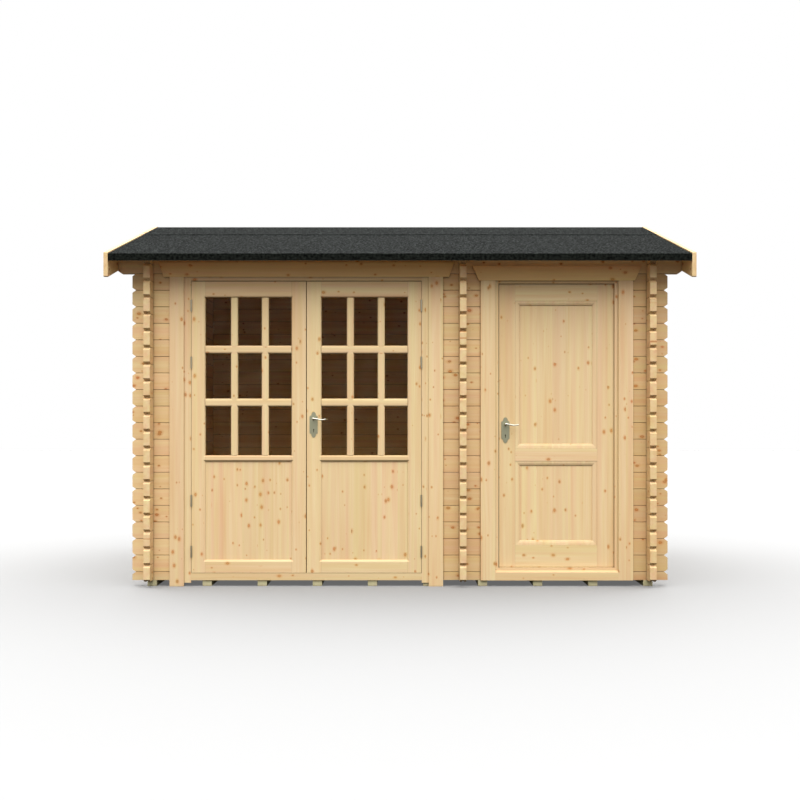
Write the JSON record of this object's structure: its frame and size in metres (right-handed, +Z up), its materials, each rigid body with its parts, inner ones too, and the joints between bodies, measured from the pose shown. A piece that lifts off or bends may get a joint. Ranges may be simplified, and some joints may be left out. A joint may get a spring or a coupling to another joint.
{
  "type": "log cabin",
  "caption": "Log cabin with interlocking corner logs, a glazed double door to the main room, a panelled door to a side store and a low felted gable roof.",
  "frame": {"origin": "on the ground under the middle of the cabin, at the middle of the roof's outline", "axes": "+X to the right along the front, +Y from the front to the back, +Z up"},
  "size_m": [3.936, 2.75, 2.691],
  "materials": {
    "log_pine": "planed untreated spruce, fine grain and small knots",
    "joinery_pine": "planed clear pine with upright grain",
    "board_pine": "planed tongued and grooved boards",
    "treated_timber": "sawn pressure-treated pine, faintly green",
    "mineral_felt": "bitumen roofing felt with dark mineral grit",
    "clear_glass": "clear float glass",
    "satin_nickel": "satin nickel-plated",
    "zinc_steel": "bright zinc-plated"
  },
  "bodies": {
    "cabin": {"bearers": "treated_timber", "floor": "board_pine", "left_wall": "log_pine", "right_wall": "log_pine", "partition_wall": "log_pine", "back_wall": "log_pine", "front_wall_left": "log_pine", "front_wall_middle": "log_pine", "front_wall_right": "log_pine", "front_eaves_log": "log_pine", "back_eaves_log": "log_pine", "ridge_purlin": "log_pine", "front_purlin": "log_pine", "back_purlin": "log_pine", "front_roof_boards": "board_pine", "back_roof_boards": "board_pine", "front_eaves_board": "board_pine", "back_eaves_board": "board_pine", "front_felt": "mineral_felt", "back_felt": "mineral_felt", "ridge_felt": "mineral_felt", "front_left_bargeboard": "joinery_pine", "front_right_bargeboard": "joinery_pine", "back_left_bargeboard": "joinery_pine", "back_right_bargeboard": "joinery_pine", "double_left_jamb": "joinery_pine", "double_right_jamb": "joinery_pine", "double_head": "joinery_pine", "double_sill": "joinery_pine", "double_left_trim": "joinery_pine", "double_right_trim": "joinery_pine", "double_header": "joinery_pine", "single_left_post": "joinery_pine", "single_right_post": "joinery_pine", "single_head": "joinery_pine", "single_threshold": "joinery_pine", "single_header": "joinery_pine", "frame_hinges": "zinc_steel"},
    "left_door": {"left_leaf": "joinery_pine", "left_leaf_panel": "joinery_pine", "left_leaf_glass": "clear_glass", "left_leaf_hinges": "zinc_steel"},
    "right_door": {"right_leaf": "joinery_pine", "right_leaf_panel": "joinery_pine", "right_leaf_glass": "clear_glass", "right_leaf_hinges": "zinc_steel", "double_plates": "satin_nickel"},
    "store_door": {"single_leaf": "joinery_pine", "single_leaf_panels": "joinery_pine", "single_leaf_hinges": "zinc_steel", "single_plates": "satin_nickel"},
    "double_door_lever": {"double_lever": "satin_nickel"},
    "store_door_lever": {"single_lever": "satin_nickel"}
  },
  "joints": [
    {"name": "left_door_hinge", "type": "hinge", "parent": "cabin", "child": "left_door", "pos_m": [-1.434, -1.1405, 0.1], "axis": [0, 0, -1], "range_deg": [0, 120]},
    {"name": "right_door_hinge", "type": "hinge", "parent": "cabin", "child": "right_door", "pos_m": [0.147, -1.1405, 0.1], "axis": [0, 0, 1], "range_deg": [0, 120]},
    {"name": "store_door_hinge", "type": "hinge", "parent": "cabin", "child": "store_door", "pos_m": [1.4905, -1.0595, 0.1], "axis": [0, 0, -1], "range_deg": [0, 95]},
    {"name": "double_lever_turn", "type": "hinge", "parent": "right_door", "child": "double_door_lever", "pos_m": [-0.5935, -1.135, 1.148], "axis": [0, 1, 0], "range_deg": [0, 35], "stiffness_Nm_per_rad": 1.5, "springref_deg": -28.65},
    {"name": "store_lever_turn", "type": "hinge", "parent": "store_door", "child": "store_door_lever", "pos_m": [0.7275, -1.105, 1.11], "axis": [0, 1, 0], "range_deg": [0, 35], "stiffness_Nm_per_rad": 1.5, "springref_deg": -28.65}
  ]
}
